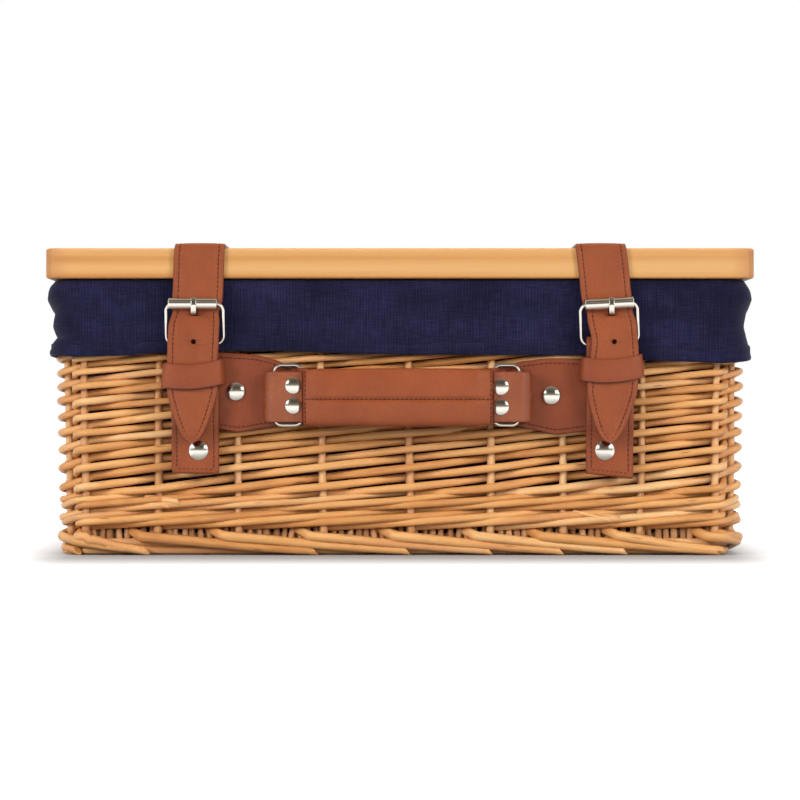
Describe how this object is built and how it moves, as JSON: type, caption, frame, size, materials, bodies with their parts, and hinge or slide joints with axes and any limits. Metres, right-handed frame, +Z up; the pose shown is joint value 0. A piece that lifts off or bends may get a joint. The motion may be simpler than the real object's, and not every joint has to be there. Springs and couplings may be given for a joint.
{
  "type": "wicker hamper",
  "caption": "Low rectangular woven willow hamper with a flat pine lid, a turned-over cloth lining, buckled leather straps and a leather front handle.",
  "frame": {"origin": "centre of the bottom face of the whole object's box, on the floor under the basket", "axes": "+X to the right along the front, +Y to the back, +Z up; the buckles and handle face -Y"},
  "size_m": [0.42, 0.3286, 0.187],
  "materials": {
    "willow": "satin buff willow",
    "pine": "satin varnished pine",
    "cloth": "navy woven cotton",
    "leather": "tan, satin",
    "nickel": "polished nickel plate",
    "steel": "zinc plated screw"
  },
  "bodies": {
    "basket": {"base_panel": "willow", "foot_border": "willow", "wale_band": "willow", "woven_front": "willow", "woven_back": "willow", "woven_left": "willow", "woven_right": "willow", "rim_border": "willow", "lining": "cloth", "strap_anchor_left": "leather", "strap_rivet_left": "nickel", "handle_anchor_left": "leather", "handle_rivet_left": "nickel", "rear_anchor_left": "leather", "rear_rivet_left": "nickel", "strap_anchor_right": "leather", "strap_rivet_right": "nickel", "handle_anchor_right": "leather", "handle_rivet_right": "nickel", "rear_anchor_right": "leather", "rear_rivet_right": "nickel"},
    "lid": {"lid_board_1": "pine", "lid_board_2": "pine", "lid_board_3": "pine", "lid_board_4": "pine", "lid_batten_left": "pine", "batten_screw_left_front": "steel", "batten_screw_left_rear": "steel", "over_strap_left": "leather", "strap_tack_left_front": "nickel", "strap_tack_left_rear": "nickel", "lid_batten_right": "pine", "batten_screw_right_front": "steel", "batten_screw_right_rear": "steel", "over_strap_right": "leather", "strap_tack_right_front": "nickel", "strap_tack_right_rear": "nickel"},
    "strap_left": {"strap_tail_left": "leather"},
    "buckle_left": {"buckle_frame_left": "nickel"},
    "roller_left": {"buckle_roller_left": "nickel"},
    "prong_left": {"buckle_prong_left": "nickel"},
    "keeper_left": {"keeper_left": "leather"},
    "ring_left": {"handle_ring_left": "nickel"},
    "tab_left": {"handle_tab_left": "leather", "tab_rivet_left_1": "nickel", "tab_rivet_left_2": "nickel"},
    "strap_right": {"strap_tail_right": "leather"},
    "buckle_right": {"buckle_frame_right": "nickel"},
    "roller_right": {"buckle_roller_right": "nickel"},
    "prong_right": {"buckle_prong_right": "nickel"},
    "keeper_right": {"keeper_right": "leather"},
    "ring_right": {"handle_ring_right": "nickel"},
    "tab_right": {"handle_tab_right": "leather", "tab_rivet_right_1": "nickel", "tab_rivet_right_2": "nickel"},
    "grip": {"grip_sleeve": "leather", "grip_core": "leather"}
  },
  "joints": [
    {"name": "lid_hinge", "type": "hinge", "parent": "basket", "child": "lid", "pos_m": [0, 0.16425, 0.1642], "axis": [-1, 0, 0], "range_deg": [0, 175]},
    {"name": "strap_left_flip", "type": "hinge", "parent": "lid", "child": "strap_left", "pos_m": [-0.1183, -0.14907, 0.18282], "axis": [-1, 0, 0], "range_deg": [0, 160], "deforming": ["strap_tail_left"]},
    {"name": "buckle_left_pivot", "type": "hinge", "parent": "basket", "child": "buckle_left", "pos_m": [-0.1212, -0.14835, 0.126], "axis": [1, 0, 0], "range_deg": [0, 60]},
    {"name": "roller_left_spin", "type": "hinge", "parent": "buckle_left", "child": "roller_left", "pos_m": [-0.1212, -0.155, 0.1492], "axis": [1, 0, 0], "continuous": true},
    {"name": "prong_left_swing", "type": "hinge", "parent": "buckle_left", "child": "prong_left", "pos_m": [-0.1212, -0.14835, 0.126], "axis": [1, 0, 0], "range_deg": [0, 45]},
    {"name": "keeper_left_slide", "type": "slide", "parent": "basket", "child": "keeper_left", "axis": [0, 0, 1], "range_m": [-0.014, 0.002]},
    {"name": "strap_right_flip", "type": "hinge", "parent": "lid", "child": "strap_right", "pos_m": [0.119, -0.14907, 0.18282], "axis": [-1, 0, 0], "range_deg": [0, 160], "deforming": ["strap_tail_right"]},
    {"name": "buckle_right_pivot", "type": "hinge", "parent": "basket", "child": "buckle_right", "pos_m": [0.1232, -0.14835, 0.126], "axis": [1, 0, 0], "range_deg": [0, 60]},
    {"name": "roller_right_spin", "type": "hinge", "parent": "buckle_right", "child": "roller_right", "pos_m": [0.1232, -0.155, 0.1492], "axis": [1, 0, 0], "continuous": true},
    {"name": "prong_right_swing", "type": "hinge", "parent": "buckle_right", "child": "prong_right", "pos_m": [0.1232, -0.14835, 0.126], "axis": [1, 0, 0], "range_deg": [0, 45]},
    {"name": "keeper_right_slide", "type": "slide", "parent": "basket", "child": "keeper_right", "axis": [0, 0, 1], "range_m": [-0.014, 0.002]},
    {"name": "ring_left_swing", "type": "hinge", "parent": "basket", "child": "ring_left", "pos_m": [-0.0574, -0.14825, 0.0938], "axis": [0, 0, 1], "range_deg": [0, 75]},
    {"name": "tab_left_fold", "type": "hinge", "parent": "ring_left", "child": "tab_left", "pos_m": [-0.0742, -0.14825, 0.0938], "axis": [0, 0, 1], "range_deg": [-150, 0]},
    {"name": "grip_left_fold", "type": "hinge", "parent": "tab_left", "child": "grip", "pos_m": [-0.0574, -0.14825, 0.0938], "axis": [0, 0, 1], "range_deg": [0, 75]},
    {"name": "grip_right_fold", "type": "hinge", "parent": "grip", "child": "tab_right", "pos_m": [0.055, -0.14825, 0.0938], "axis": [0, 0, 1], "range_deg": [0, 75]},
    {"name": "ring_right_swing", "type": "hinge", "parent": "basket", "child": "ring_right", "pos_m": [0.055, -0.14825, 0.0938], "axis": [0, 0, 1], "range_deg": [-75, 0]}
  ],
  "couplings": [
    {"joint": "ring_left_swing", "follows": "ring_right_swing", "ratio": -1},
    {"joint": "tab_left_fold", "follows": "ring_right_swing", "ratio": 2},
    {"joint": "grip_left_fold", "follows": "ring_right_swing", "ratio": -1},
    {"joint": "grip_right_fold", "follows": "ring_right_swing", "ratio": -1}
  ]
}
